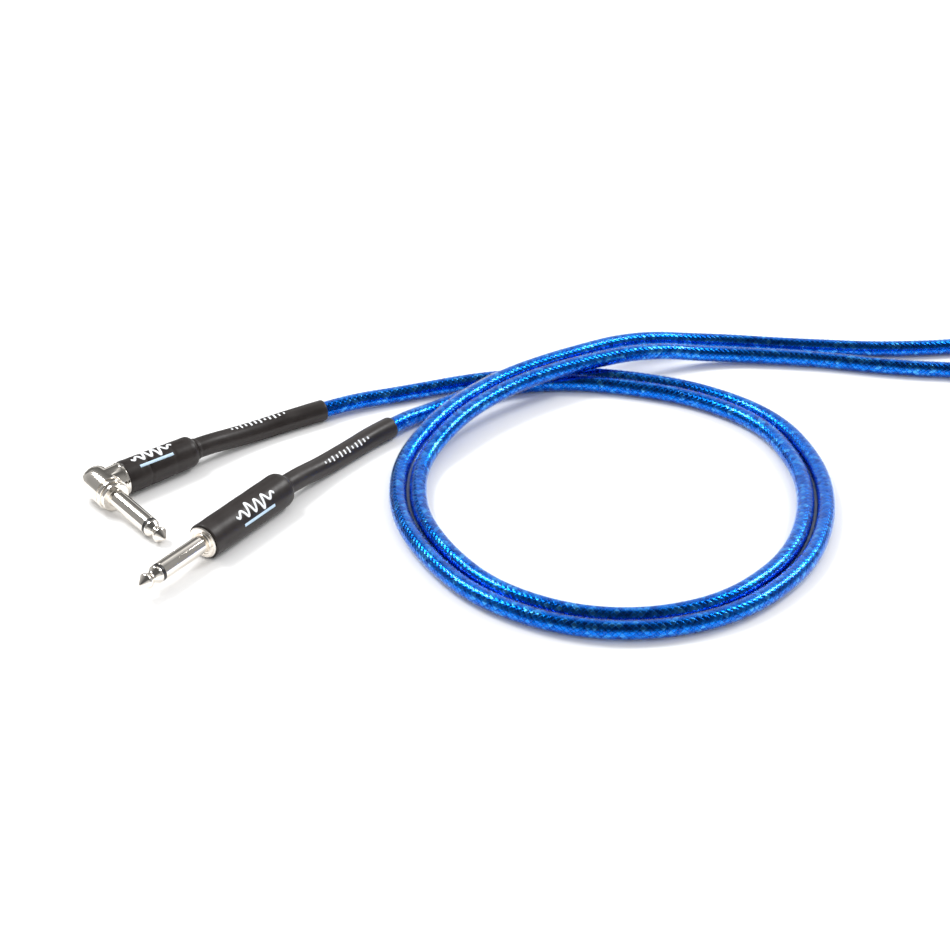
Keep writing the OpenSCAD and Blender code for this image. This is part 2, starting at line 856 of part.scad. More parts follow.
outer_loop_jacket();
outer_loop_braid();
outer_loop_insulation();
outer_loop_conductor();
inner_loop_jacket();
inner_loop_braid();
inner_loop_insulation();
inner_loop_conductor();
bight_jacket();
bight_braid();
bight_insulation();
bight_conductor();
straight_lead_jacket();
straight_lead_braid();
straight_lead_insulation();
straight_lead_conductor();
angle_lead_jacket();
angle_lead_braid();
angle_lead_insulation();
angle_lead_conductor();
straight_tip_contact();
straight_tip_ring();
straight_rod_insulator();
straight_sleeve_contact();
straight_cable_clamp();
straight_rear_washer();
straight_tip_tag();
straight_solder_joints();
straight_barrel();
straight_liner();
straight_handle_shrink();
straight_strain_sleeve();
straight_end_jacket();
straight_end_braid();
straight_end_insulation();
straight_end_conductor();
angle_tip_contact();
angle_tip_ring();
angle_rod_insulator();
angle_sleeve_contact();
angle_rear_washer();
angle_tip_tag();
angle_elbow_housing();
angle_elbow_cap();
angle_cable_clamp();
angle_solder_joints();
angle_barrel();
angle_liner();
angle_handle_shrink();
angle_strain_sleeve();
angle_end_jacket();
angle_end_braid();
angle_end_insulation();
angle_end_conductor();
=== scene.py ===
import json
import math

import bmesh
import bpy
import numpy as np
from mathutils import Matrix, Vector


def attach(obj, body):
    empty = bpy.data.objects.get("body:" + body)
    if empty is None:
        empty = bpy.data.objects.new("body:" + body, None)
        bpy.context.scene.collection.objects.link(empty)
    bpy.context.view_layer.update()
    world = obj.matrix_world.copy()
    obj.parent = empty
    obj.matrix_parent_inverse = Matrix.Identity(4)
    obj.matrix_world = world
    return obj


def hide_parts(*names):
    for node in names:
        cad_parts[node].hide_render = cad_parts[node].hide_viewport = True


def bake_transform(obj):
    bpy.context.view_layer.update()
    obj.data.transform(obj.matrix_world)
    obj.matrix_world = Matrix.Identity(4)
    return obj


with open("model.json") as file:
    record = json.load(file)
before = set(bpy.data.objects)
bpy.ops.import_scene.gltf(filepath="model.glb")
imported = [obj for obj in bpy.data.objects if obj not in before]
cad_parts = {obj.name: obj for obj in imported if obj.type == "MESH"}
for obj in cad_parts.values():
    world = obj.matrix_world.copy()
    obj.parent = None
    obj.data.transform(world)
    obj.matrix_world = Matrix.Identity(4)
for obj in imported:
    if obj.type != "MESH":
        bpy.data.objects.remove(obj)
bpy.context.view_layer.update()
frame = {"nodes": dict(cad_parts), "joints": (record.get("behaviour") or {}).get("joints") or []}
nodes = frame["nodes"]
MM = 0.001

# ---- Measures of the cable, in metres ------------------------------------------------------
CARRIERS = 8  # strands that run each way round the cable
WIRES = 7  # fine wires that lie side by side in a strand
PITCH = 2.1 * MM  # length of one diamond along the cable
CELL = 6  # mesh points along a diamond, lengthwise and round
STEP = PITCH / CELL
AROUND = CARRIERS * CELL
WEAVE_R = 3.06 * MM
RELIEF = 0.15 * MM  # how far the strands rise and sink
JACKET_R = 3.4 * MM
RIPPLE = 0.012 * MM  # unevenness of the jacket
LOOP_BEND = 11 * MM  # the same at the hinges in the loop
TUCK = 6 * MM  # how far the cable is drawn inside a sleeve
SPARE = 8  # more of the line's points on each side of a loop hinge, clear of the bend

# ---- Measures of the plugs, in millimetres -------------------------------------------------
SHAFT_R = 3.175
SHAFT_BORE_R = 2.0
WAIST_R = 2.03  # narrowest part of a tip, which the jack's spring drops into
STEM_R = 1.25  # rod that carries the tip
RING_R = 1.3  # bore of the tip's black ring
FLANGE_R = 5.7
FLANGE_ONLY_R = 5.0  # nothing else on the straight plug's front reaches this far out
NOTCHES = 60  # round the flange's rim
HANDLE_R = 6.4
ANGLE_HANDLE_R = (6.25, 5.8)  # at the front and at the rear
HANDLE_MOUTH_R = 4.05  # hole that the sleeve comes out of
SLEEVE_R = 3.8
SLEEVE_BORE_R = 3.48
ELBOW_R = 6.0
ELBOW_TUBE_R = 6.22
ELBOW_HOLLOW_R = 3.95
ELBOW_BORE_R = 3.7
CAP_R = 3.6
SHRUNK_R = 3.6  # only what lies outside this radius is uneven
SHARP = math.radians(38)  # edges that turn more than this are drawn sharp
ELBOW_SHARP = math.radians(35)  # the same for the elbow


# ---- Node trees ----------------------------------------------------------------------------
class Tree:
    """A shader node tree, built by short calls."""

    def __init__(self, owner):
        owner.use_nodes = True
        self.nodes = owner.node_tree.nodes
        self.links = owner.node_tree.links
        self.nodes.clear()

    def feed(self, socket, value):
        if isinstance(value, bpy.types.NodeSocket):
            self.links.new(value, socket)
        else:
            socket.default_value = value

    def put(self, kind, inputs=None, **settings):
        n = self.nodes.new("ShaderNode" + kind)
        for key, value in settings.items():
            setattr(n, key, value)
        for key, value in (inputs or {}).items():
            self.feed(n.inputs[key], value)
        return n

    def math(self, op, a, b=0.0, c=0.0, clamp=False):
        return self.put("Math", {0: a, 1: b, 2: c}, operation=op, use_clamp=clamp).outputs[0]

    def mix(self, share, a, b, blend="MIX"):
        return self.put(
            "Mix", {0: share, 6: a, 7: b}, data_type="RGBA", blend_type=blend
        ).outputs[2]

    def lerp(self, share, a, b):
        return self.put("Mix", {0: share, 2: a, 3: b}, data_type="FLOAT").outputs[0]

    def band(self, value, low, high, to_low=0.0, to_high=1.0):
        """value from low to high becomes to_low to to_high, smoothly, and is held outside."""
        return self.put(
            "MapRange",
            {0: value, 1: low, 2: high, 3: to_low, 4: to_high},
            interpolation_type="SMOOTHSTEP",
        ).outputs[0]

    def ramp(self, share, stops):
        n = self.put("ValToRGB", {0: share})
        while len(n.color_ramp.elements) < len(stops):
            n.color_ramp.elements.new(0.5)
        for e, (at, colour) in zip(n.color_ramp.elements, stops):
            e.position = at
            e.color = colour
        return n.outputs[0]

    def noise(self, where, scale, detail=2.0, rough=0.5):
        return self.put(
            "TexNoise", {"Vector": where, "Scale": scale, "Detail": detail, "Roughness": rough}
        ).outputs[0]

    def bump(self, height, strength, distance, normal=None):
        inputs = {"Height": height, "Strength": strength, "Distance": distance}
        if normal is not None:
            inputs["Normal"] = normal
        return self.put("Bump", inputs).outputs[0]


def rgba(r, g, b):
    return (r, g, b, 1.0)


def surface(name):
    """A new material with one Principled shader: (material, tree, shader)."""
    mat = bpy.data.materials.new(name)
    tree = Tree(mat)
    bsdf = tree.put("BsdfPrincipled")
    out = tree.put("OutputMaterial")
    tree.feed(out.inputs[0], bsdf.outputs[0])
    return mat, tree, bsdf


def place(tree):
    return tree.put("TexCoord").outputs["Object"]


def braid_material():
    """Blue foil strands that pass over one another. UV: turns round the cable, diamonds along it."""
    mat, t, bsdf = surface("metallic_braid")
    uv = t.put("SeparateXYZ", {0: t.put("TexCoord").outputs["UV"]})
    turn = t.math("MULTIPLY", uv.outputs[0], float(CARRIERS))
    along = uv.outputs[1]
    a, b = t.math("ADD", turn, along), t.math("SUBTRACT", turn, along)
    ia, ib = t.math("FLOOR", a), t.math("FLOOR", b)
    fa = t.math("SUBTRACT", t.math("SUBTRACT", a, ia), 0.5)
    fb = t.math("SUBTRACT", t.math("SUBTRACT", b, ib), 0.5)
    odd = t.math("FLOORED_MODULO", t.math("ADD", ia, ib), 2.0)
    across = t.lerp(odd, fa, fb)
    lengthwise = t.lerp(odd, fb, fa)
    wire = t.math("SINE", t.math("MULTIPLY", across, WIRES * 2 * math.pi))
    side = t.band(t.math("ABSOLUTE", across), 0.36, 0.5)
    end = t.band(t.math("ABSOLUTE", lengthwise), 0.38, 0.5)
    gap = t.math("MAXIMUM", side, t.math("MULTIPLY", end, 0.7))
    cell = t.put("CombineXYZ", {0: ia, 1: ib, 2: odd}).outputs[0]
    cast = t.put("TexWhiteNoise", {"Vector": cell}, noise_dimensions="3D").outputs[0]
    where = place(t)
    glint = t.noise(where, 1900.0, 2.0, 0.7)
    drift = t.noise(where, 45.0, 2.0, 0.5)
    blue = t.ramp(
        cast,
        [
            (0.0, rgba(0.0, 0.07, 0.4)),
            (0.35, rgba(0.001, 0.15, 0.69)),
            (0.75, rgba(0.004, 0.22, 0.87)),
            (1.0, rgba(0.08, 0.44, 1.0)),
        ],
    )
    blue = t.mix(t.math("MULTIPLY", t.band(drift, 0.3, 0.7), 0.25), blue, rgba(0.0, 0.15, 0.74))
    # Painted shade: the colour is darker in the grooves between the fine wires, and darker still in
    # the gaps between strands
    blue = t.mix(t.band(wire, -1.0, -0.2, 0.18, 0.0), blue, rgba(0.0, 0.05, 0.32))
    blue = t.mix(t.math("MULTIPLY", gap, 0.5), blue, rgba(0.0, 0.02, 0.16))
    # Painted highlight: where the foil faces up and is seen along its surface, its colour is painted
    # white, strand by strand
    edge = t.band(t.put("LayerWeight", {"Blend": 0.5}).outputs["Facing"], 0.78, 0.93)
    rise = t.put("SeparateXYZ", {0: t.put("NewGeometry").outputs["Normal"]}).outputs[2]
    painted_highlight = t.math("MULTIPLY", edge, t.band(rise, 0.25, 0.6))
    painted_highlight = t.math("MULTIPLY", painted_highlight, t.band(cast, 0.35, 0.6))
    blue = t.mix(t.math("MULTIPLY", painted_highlight, 0.85), blue, rgba(0.8, 0.84, 0.97))
    t.feed(bsdf.inputs["Base Color"], blue)
    bsdf.inputs["Metallic"].default_value = 1.0
    rough = t.lerp(t.band(glint, 0.35, 0.65), 0.2, 0.09)
    t.feed(bsdf.inputs["Roughness"], t.math("ADD", rough, t.math("MULTIPLY", gap, 0.3)))
    fine = t.bump(wire, 0.25, 0.015 * MM)
    rounded = t.bump(t.math("SUBTRACT", 1.0, gap), 0.4, 0.06 * MM, fine)
    t.feed(bsdf.inputs["Normal"], t.bump(glint, 0.3, 0.06 * MM, rounded))
    return mat


def jacket_material():
    """Clear plastic whose outer side mirrors a little, and more where it is seen at a slant."""
    mat = bpy.data.materials.new("clear_jacket")
    t = Tree(mat)
    where = place(t)
    wave = t.bump(t.noise(where, 260.0, 2.0, 0.5), 0.25, 0.05 * MM)
    blur = t.band(t.noise(where, 700.0, 3.0, 0.6), 0.3, 0.8, 0.03, 0.16)
    shine = t.put(
        "BsdfGlossy", {"Color": rgba(0.94, 0.97, 1.0), "Normal": wave, "Roughness": blur}
    )
    clear = t.put("BsdfTransparent", {"Color": rgba(0.92, 0.97, 1.0)})
    outside = t.math("SUBTRACT", 1.0, t.put("NewGeometry").outputs["Backfacing"])
    share = t.math("MULTIPLY", t.put("Fresnel", {"IOR": 1.22, "Normal": wave}).outputs[0], outside)
    both = t.put("MixShader", {0: share, 1: clear.outputs[0], 2: shine.outputs[0]})
    out = t.put("OutputMaterial")
    t.feed(out.inputs[0], both.outputs[0])
    return mat


def metal_material(name, colour, dark, low, high, lathe=0.0):
    """Plated metal with stains, smudges and fine scratches, and lathe lines lathe / 2 pi a metre."""
    mat, t, bsdf = surface(name)
    where = place(t)
    smudge = t.noise(where, 320.0, 4.0, 0.6)
    stain = t.noise(where, 90.0, 3.0, 0.6)
    t.feed(
        bsdf.inputs["Base Color"],
        t.mix(t.band(stain, 0.35, 0.75, 0.0, 0.5), rgba(*colour), rgba(*dark)),
    )
    bsdf.inputs["Metallic"].default_value = 1.0
    t.feed(bsdf.inputs["Roughness"], t.band(smudge, 0.3, 0.75, low, high))
    scratch = t.noise(
        t.put("Mapping", {0: where, "Scale": (1.0, 1.0, 0.08)}).outputs[0], 2600.0, 2.0, 0.6
    )
    normal = t.bump(scratch, 0.12, 0.02 * MM)
    if lathe:
        uv = t.put("SeparateXYZ", {0: t.put("TexCoord").outputs["UV"]})
        line = t.math("SINE", t.math("MULTIPLY", uv.outputs[1], lathe))
        normal = t.bump(line, 0.1, 0.01 * MM, normal)
    t.feed(bsdf.inputs["Normal"], normal)
    return mat


def shrink_material(name, colour, pale):
    """Heat-shrink tube: satin, finely grained, with rubbed patches and dust."""
    mat, t, bsdf = surface(name)
    where = place(t)
    grain = t.noise(where, 2200.0, 3.0, 0.65)
    patch = t.noise(where, 110.0, 4.0, 0.6)
    dust = t.noise(where, 900.0, 4.0, 0.75)
    base = t.mix(t.band(patch, 0.3, 0.75, 0.0, 0.7), rgba(*colour), rgba(*pale))
    base = t.mix(t.band(dust, 0.66, 0.78, 0.0, 0.25), base, rgba(0.12, 0.11, 0.1))
    t.feed(bsdf.inputs["Base Color"], base)
    t.feed(bsdf.inputs["Roughness"], t.band(patch, 0.3, 0.7, 0.34, 0.46))
    bsdf.inputs["Specular IOR Level"].default_value = 0.45
    soft = t.bump(patch, 0.35, 0.25 * MM)
    t.feed(bsdf.inputs["Normal"], t.bump(grain, 0.35, 0.03 * MM, soft))
    return mat


def solid_material(name, colour, other, low, high, metallic=0.0, scale=500.0):
    """Any other solid: two mottled tones, uneven roughness and a little grain."""
    mat, t, bsdf = surface(name)
    where = place(t)
    mottle = t.noise(where, scale, 4.0, 0.6)
    t.feed(
        bsdf.inputs["Base Color"],
        t.mix(t.band(mottle, 0.3, 0.7), rgba(*colour), rgba(*other)),
    )
    bsdf.inputs["Metallic"].default_value = metallic
    t.feed(bsdf.inputs["Roughness"], t.band(mottle, 0.3, 0.7, low, high))
    t.feed(bsdf.inputs["Normal"], t.bump(t.noise(where, scale * 4, 2.0), 0.2, 0.03 * MM))
    return mat


BRAID = braid_material()
JACKET = jacket_material()
NICKEL = metal_material("nickel", (0.96, 0.91, 0.84), (0.82, 0.76, 0.68), 0.05, 0.12, lathe=9000.0)
CAST = metal_material("cast_nickel", (0.96, 0.91, 0.84), (0.8, 0.74, 0.66), 0.06, 0.14)
BLACK = solid_material("black_ring", (0.012, 0.011, 0.011), (0.03, 0.028, 0.027), 0.3, 0.45)
SHRINK = shrink_material("shrink", (0.014, 0.0095, 0.0085), (0.026, 0.0195, 0.0175))
SLEEVE = shrink_material("sleeve", (0.015, 0.0105, 0.0095), (0.028, 0.0215, 0.0195))
WHITE_INK = solid_material("white_ink", (0.9, 0.92, 0.94), (0.8, 0.83, 0.86), 0.4, 0.6)
BLUE_INK = solid_material("pale_blue_ink", (0.58, 0.74, 0.9), (0.5, 0.68, 0.85), 0.4, 0.6)
COPPER = solid_material("copper", (0.85, 0.42, 0.25), (0.6, 0.27, 0.16), 0.2, 0.4, metallic=1.0)
BRASS = solid_material("brass", (0.8, 0.62, 0.3), (0.62, 0.46, 0.2), 0.2, 0.4, metallic=1.0)
SOLDER = solid_material("solder", (0.66, 0.67, 0.7), (0.5, 0.51, 0.54), 0.25, 0.5, metallic=1.0)
FIBRE = solid_material("fibre", (0.35, 0.13, 0.07), (0.25, 0.09, 0.05), 0.6, 0.8)
CORE = solid_material("insulation", (0.86, 0.85, 0.8), (0.78, 0.77, 0.72), 0.4, 0.6)


# ---- Meshes --------------------------------------------------------------------------------
def new_mesh(name, points, quads, uvs, material):
    """A mesh from n points, m faces of 4 corners and the 4m corners' UVs."""
    mesh = bpy.data.meshes.new(name)
    quads = np.asarray(quads, np.int32)
    mesh.vertices.add(len(points))
    mesh.vertices.foreach_set("co", np.asarray(points, np.float32).ravel())
    mesh.loops.add(quads.size)
    mesh.loops.foreach_set("vertex_index", quads.ravel())
    mesh.polygons.add(len(quads))
    mesh.polygons.foreach_set("loop_start", np.arange(0, quads.size, 4, dtype=np.int32))
    mesh.polygons.foreach_set("loop_total", np.full(len(quads), 4, np.int32))
    mesh.polygons.foreach_set("use_smooth", np.ones(len(quads), bool))
    layer = mesh.uv_layers.new(name="UVMap")
    layer.data.foreach_set("uv", np.asarray(uvs, np.float32).ravel())
    mesh.materials.append(material)
    mesh.update(calc_edges=True)
    mesh.validate()
    obj = bpy.data.objects.new(name, mesh)
    bpy.context.scene.collection.objects.link(obj)
    return obj


def grid_faces(rows, cols, u, v, wrap_rows=False):
    """Faces and UVs of a grid that closes round its columns, and round its rows if they wrap.
    u and v have a value for each line of the grid, and one more where it closes."""
    last = rows if wrap_rows else rows - 1
    i, j = np.meshgrid(np.arange(last), np.arange(cols), indexing="ij")
    i2, j2 = (i + 1) % rows, (j + 1) % cols
    quads = np.stack([i * cols + j, i * cols + j2, i2 * cols + j2, i2 * cols + j], -1)
    corner_u = np.stack([u[j], u[j + 1], u[j + 1], u[j]], -1)
    corner_v = np.stack([v[i], v[i], v[i + 1], v[i + 1]], -1)
    return quads.reshape(-1, 4), np.stack([corner_u, corner_v], -1).reshape(-1, 2)


def unit(v):
    return v / np.linalg.norm(v)


def run_along(points):
    """Distance of each point from the first one, measured along the line."""
    return np.concatenate([[0], np.cumsum(np.linalg.norm(np.diff(points, axis=0), axis=1))])


class Place:
    """A local frame: an origin, an axis z, and a side x that faces toward as nearly as it can."""

    def __init__(self, origin, axis, toward):
        self.o, self.z = np.array(origin), unit(np.array(axis))
        side = np.array(toward) - (np.array(toward) @ self.z) * self.z
        self.x = unit(side)
        self.y = np.cross(self.z, self.x)

    def at(self, z, r, angle):
        z, r, angle = (np.asarray(k)[..., None] for k in (z, r, angle))
        return self.o + z * self.z + r * (np.cos(angle) * self.x + np.sin(angle) * self.y)


def rounded(points, radius, steps=4):
    """A closed outline of (z, r) or (z, r, corner radius) in mm with its corners rounded."""
    out = []
    n = len(points)
    for k in range(n):
        p = np.array(points[k][:2], float)
        size = points[k][2] if len(points[k]) > 2 else radius
        a = np.array(points[k - 1][:2], float) - p
        b = np.array(points[(k + 1) % n][:2], float) - p
        cut = min(size, np.linalg.norm(a) * 0.45, np.linalg.norm(b) * 0.45)
        if cut < 1e-4 or p[1] <= 0:
            out.append(p)
            continue
        p0, p1 = p + unit(a) * cut, p + unit(b) * cut
        for s in np.linspace(0, 1, steps + 1):
            out.append((1 - s) ** 2 * p0 + 2 * s * (1 - s) * p + s * s * p1)
    return np.array(out)


def refined(points, longest):
    """The closed outline with long sides divided, so that a surface pattern can bend it."""
    out = []
    for k in range(len(points)):
        a, b = points[k], points[(k + 1) % len(points)]
        count = max(1, int(np.ceil(np.linalg.norm(b - a) / longest)))
        out.extend(a + (b - a) * s / count for s in range(count))
    return np.array(out)


def turned(name, outline, where, material, count=96, shape=None):
    """A solid of revolution from a closed outline in mm. shape(z, r, angle) gives the radius."""
    z, r = outline[:, 0], np.maximum(outline[:, 1], 0.002)
    angle = np.arange(count) / count * 2 * math.pi
    zz, aa = np.meshgrid(z, angle, indexing="ij")
    rr = np.repeat(r[:, None], count, 1)
    if shape is not None:
        rr = shape(zz, rr, aa)
    points = where.at(zz * MM, rr * MM, aa).reshape(-1, 3)
    run = run_along(np.vstack([outline, outline[:1]])) * MM
    quads, uvs = grid_faces(len(z), count, np.linspace(0, 1, count + 1), run, wrap_rows=True)
    obj = new_mesh(name, points, quads, uvs, material)
    obj.data.set_sharp_from_angle(angle=SHARP)
    return obj


def points_of(node):
    return np.array([v.co for v in nodes[node].data.vertices], float)


def middle(points):
    """Middle of the points' box."""
    return (points.min(0) + points.max(0)) / 2


def ends(node):
    """Middle points of a straight CAD rod's two ends."""
    co = points_of(node)
    centre = co.mean(0)
    axis = np.linalg.svd(co - centre, full_matrices=False)[2][0]
    for _ in range(3):
        run = (co - centre) @ axis
        low = np.unique(co[run < run.min() + 1e-5].round(7), axis=0)
        high = np.unique(co[run > run.max() - 1e-5].round(7), axis=0)
        axis = unit(middle(high) - middle(low))
    return middle(low), middle(high)


def span(node, where, least_r=0.0):
    """Lowest and highest z, in mm, of a CAD node's points at least so far from a frame's axis."""
    co = points_of(node) - where.o
    z = co @ where.z
    r = np.linalg.norm(co - z[:, None] * where.z, axis=1)
    z = z[r >= least_r * MM]
    return z.min() / MM, z.max() / MM


# ---- The cable's centre line ---------------------------------------------------------------
SAME = 2e-6  # points nearer to one another than this are one point
RING_GAP = 0.42 * MM  # neighbours in a ring are nearer than this, and rings are further apart


def rings(node):
    """Middles of the rings of points that a swept CAD rod is made of, in order along it."""
    keys, to = np.unique(
        (points_of(node) / SAME).round().astype(np.int64), axis=0, return_inverse=True
    )
    points = keys * SAME
    edges = to.ravel()[np.array([e.vertices for e in nodes[node].data.edges])]
    edges = np.unique(np.sort(edges, axis=1), axis=0)
    edges = edges[edges[:, 0] != edges[:, 1]]
    length = np.linalg.norm(points[edges[:, 0]] - points[edges[:, 1]], axis=1)
    near = edges[length < RING_GAP]
    label = np.arange(len(points))
    while True:  # every point takes the lowest label in its ring
        low = np.minimum(label[near[:, 0]], label[near[:, 1]])
        new = label.copy()
        np.minimum.at(new, near[:, 0], low)
        np.minimum.at(new, near[:, 1], low)
        new = new[new]
        if (new == label).all():
            break
        label = new
    names, group = np.unique(label, return_inverse=True)
    group = group.ravel()
    centres = np.array([middle(points[group == g]) for g in range(len(names))])
    links = [set() for _ in names]
    for a, b in group[edges]:
        if a != b:
            links[a].add(b)
            links[b].add(a)
    order = [0]
    for _ in range(2):  # the second walk starts from an end
        order = [order[-1]]
        seen = set(order)
        for g in order:
            for h in sorted(links[g]):
                if h not in seen:
                    seen.add(h)
                    order.append(h)
    return centres[order]


def joined(parts):
    """The parts' points as one line, each part turned to start where the last one ended."""
    line = [parts[0]]
    for part in parts[1:]:
        tail = line[-1][-1]
        if np.linalg.norm(part[0] - tail) > np.linalg.norm(part[-1] - tail):
            part = part[::-1]
        line.append(part)
    return np.vstack(line)


def spline(points, step, least=0.8 * MM, samples=60000):
    """A natural cubic spline through points at least so far apart, as points at an even step."""
    keep = [0]
    for k in range(1, len(points)):
        if np.linalg.norm(points[k] - points[keep[-1]]) > least:
            keep.append(k)
    p = points[keep]
    t = run_along(p)
    h = np.diff(t)
    n = len(p)
    left, right = np.zeros((n, n)), np.zeros((n, 3))
    left[0, 0] = left[-1, -1] = 1
    for k in range(1, n - 1):
        left[k, k - 1], left[k, k], left[k, k + 1] = h[k - 1], 2 * (h[k - 1] + h[k]), h[k]
        right[k] = 6 * ((p[k + 1] - p[k]) / h[k] - (p[k] - p[k - 1]) / h[k - 1])
    m = np.linalg.solve(left, right)

    def at(s):
        k = np.clip(np.searchsorted(t, s) - 1, 0, n - 2)
        a, b = ((t[k + 1] - s) / h[k])[:, None], ((s - t[k]) / h[k])[:, None]
        hk = (h[k] ** 2)[:, None]
        return a * p[k] + b * p[k + 1] + ((a**3 - a) * m[k] + (b**3 - b) * m[k + 1]) * hk / 6

    fine = at(np.linspace(0, t[-1], samples))
    run = run_along(fine)
    wanted = np.arange(0, run[-1], step)
    return np.stack([np.interp(wanted, run, fine[:, k]) for k in range(3)], 1)


def carried(line):
    """Two directions across the line at every point, turned no more than the line bends."""
    tangent = np.gradient(line, axis=0)
    tangent /= np.linalg.norm(tangent, axis=1)[:, None]
    side = np.zeros_like(line)
    now = np.cross(tangent[0], (0, 0, 1))
    for k, t in enumerate(tangent):
        now = unit(now - (now @ t) * t)
        side[k] = now
    return side, np.cross(tangent, side)


def outward(points, node):
    """The points in the order that leads away from a node."""
    points = np.array(points)
    near = [np.linalg.norm(points[k] - middle(points_of(node))) for k in (0, -1)]
    return points if near[0] < near[1] else points[::-1]


s_line = outward(ends("straight_liner"), "straight_tip_contact")
a_line = outward(ends("angle_liner"), "angle_tip_contact")
a_tip = outward(ends("angle_tip_contact"), "angle_handle_shrink")
s_axis, a_axis = unit(s_line[1] - s_line[0]), unit(a_line[1] - a_line[0])
route = joined([
    outward(rings("straight_end_conductor"), "straight_tip_contact"),
    rings("straight_lead_conductor"),
    rings("inner_loop_conductor"),
    rings("bight_conductor"),
    rings("outer_loop_conductor"),
    rings("angle_lead_conductor"),
    rings("angle_end_conductor"),
])
line = spline(route, STEP)
side, up = carried(line)
course = np.gradient(line, axis=0)
course /= np.linalg.norm(course, axis=1)[:, None]


def nearest(point):
    return int(np.argmin(np.linalg.norm(line - np.array(point), axis=1)))


class Along:
    """Like Place, but z follows the cable's line from point k, forwards (1) or back (-1)."""

    def __init__(self, k, way, toward):
        self.k, self.way, self.toward = k, way, np.array(toward)

    def at(self, z, r, angle):
        z, r, angle = (np.asarray(k)[..., None] for k in (z, r, angle))
        k = self.k + self.way * z[..., 0] / STEP
        count = np.arange(len(line))
        point = np.stack([np.interp(k, count, line[:, c]) for c in range(3)], -1)
        axis = np.stack([np.interp(k, count, course[:, c]) for c in range(3)], -1) * self.way
        x = self.toward - (axis @ self.toward)[..., None] * axis
        x /= np.linalg.norm(x, axis=-1, keepdims=True)
        return point + r * (np.cos(angle) * x + np.sin(angle) * np.cross(axis, x))


def stretch(node):
    """First and last point of the line that a CAD node lies round."""
    near = [nearest(point) for point in points_of(node)]
    return min(near), max(near)


def round_line(rows, r, angle):
    """Points round the line's points rows, at radius r[row, column] and angle[column]."""
    return line[rows][:, None] + r[..., None] * (
        np.cos(angle)[None, :, None] * side[rows][:, None]
        + np.sin(angle)[None, :, None] * up[rows][:, None]
    )


# ---- Cable pieces --------------------------------------------------------------------------
def weave_height(turn, along):
    """Height of the braid, 0 to 1, where strands pass over one another in turn."""
    a, b = turn + along, turn - along
    ia, ib = np.floor(a + 1e-6), np.floor(b + 1e-6)
    fa, fb = a - ia - 0.5, b - ib - 0.5
    odd = (ia + ib) % 2 > 0.5
    across, lengthwise = np.where(odd, fb, fa), np.where(odd, fa, fb)
    return (1 - 0.5 * (2 * across) ** 2) * (1 - 0.6 * (2 * lengthwise) ** 2)


def weave(name, first, last):
    rows = np.arange(first, last + 1)
    turn, along = np.meshgrid(np.arange(AROUND) / CELL, rows / CELL)
    # Sampled a little inside each cell, so that no point lies on the line between two strands
    high = weave_height(turn + 1 / 24, along + 1 / 48)
    r = WEAVE_R + RELIEF * (high - 0.6)
    points = round_line(rows, r, np.arange(AROUND) / AROUND * 2 * math.pi)
    quads, uvs = grid_faces(len(rows), AROUND, np.arange(AROUND + 1) / AROUND, rows / CELL)
    return new_mesh(name, points.reshape(-1, 3), quads, uvs, BRAID)


def clear_tube(name, first, last, count=36, every=4):
    rows = np.arange(first, last + 1, every)
    if rows[-1] != last:
        rows = np.append(rows, last)
    angle = np.arange(count) / count * 2 * math.pi
    s = rows[:, None] * STEP
    r = JACKET_R - RIPPLE * (1 + np.sin(s * 410 + 2 * angle[None, :]) * np.sin(s * 173))
    points = round_line(rows, r, angle)
    quads, uvs = grid_faces(len(rows), count, np.arange(count + 1) / count, rows * STEP * 100)
    return new_mesh(name, points.reshape(-1, 3), quads, uvs, JACKET)


pivots = {j["name"]: np.array(j["pos_m"]) for j in frame["joints"]}
s_lift, s_swing = nearest(pivots["straight_plug_lift"]), nearest(pivots["straight_lead_swing"])
a_twist, a_swing = nearest(pivots["angle_plug_twist"]), nearest(pivots["angle_lead_swing"])
s_middle, a_middle = (s_lift + s_swing) // 2, (a_twist + a_swing) // 2
reach = int(LOOP_BEND / STEP) + SPARE
beyond = np.nonzero(line[:, 0] > pivots["bight_lift"][0] - LOOP_BEND)[0]
s_sleeve, a_sleeve = stretch("straight_strain_sleeve"), stretch("angle_strain_sleeve")


def follow(piece, bodies, hinge):
    """Carries a piece on its body; across a hinge it only bakes the piece's placement into its mesh.
    """
    if hinge is None:
        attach(piece, *bodies)
    else:
        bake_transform(piece)


def cable(name, first, last, bodies, node, hinge=None):
    """The braid and the jacket from one point of the line to another, in place of two nodes."""
    for kind, made, slot in (("weave", weave, "braid"), ("clear", clear_tube, "clear_jacket")):
        piece = made(name + "_" + kind, first, last)
        follow(piece, bodies, hinge)
        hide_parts(node + ("_braid" if slot == "braid" else "_jacket"))


def bent_cable(name, first, last, bodies, node, k):
    """Cable from first to last, with the line's point k passed on as its hinge."""
    cable(name, first, last, bodies, node, line[k])


tuck = int(TUCK / STEP)
bent_cable("straight_stub", s_sleeve[1] - tuck, s_middle, ("straight_lead", "straight_plug"),
           "straight_end", s_lift)
bent_cable("straight_lead", s_middle, s_swing + reach, ("straight_lead", "loop"),
           "straight_lead", s_swing)
cable("inner_strand", s_swing + reach, int(beyond[0]), ("loop",), "inner_loop")
cable("bight", int(beyond[0]), int(beyond[-1]), ("loop", "bight"), "bight",
      pivots["bight_lift"])
cable("outer_strand", int(beyond[-1]), a_swing - reach, ("loop",), "outer_loop")
bent_cable("angle_lead", a_swing - reach, a_middle, ("angle_lead", "loop"),
           "angle_lead", a_swing)
bent_cable("angle_stub", a_middle, a_sleeve[0] + tuck, ("angle_lead", "angle_plug"),
           "angle_end", a_twist)

# ---- Camera --------------------------------------------------------------------------------
EYE = np.array([-0.0484, -0.5318, 0.3297])
TILT = math.radians(59.0)  # 0 looks straight down, 90 degrees is level
LENS = 66.47


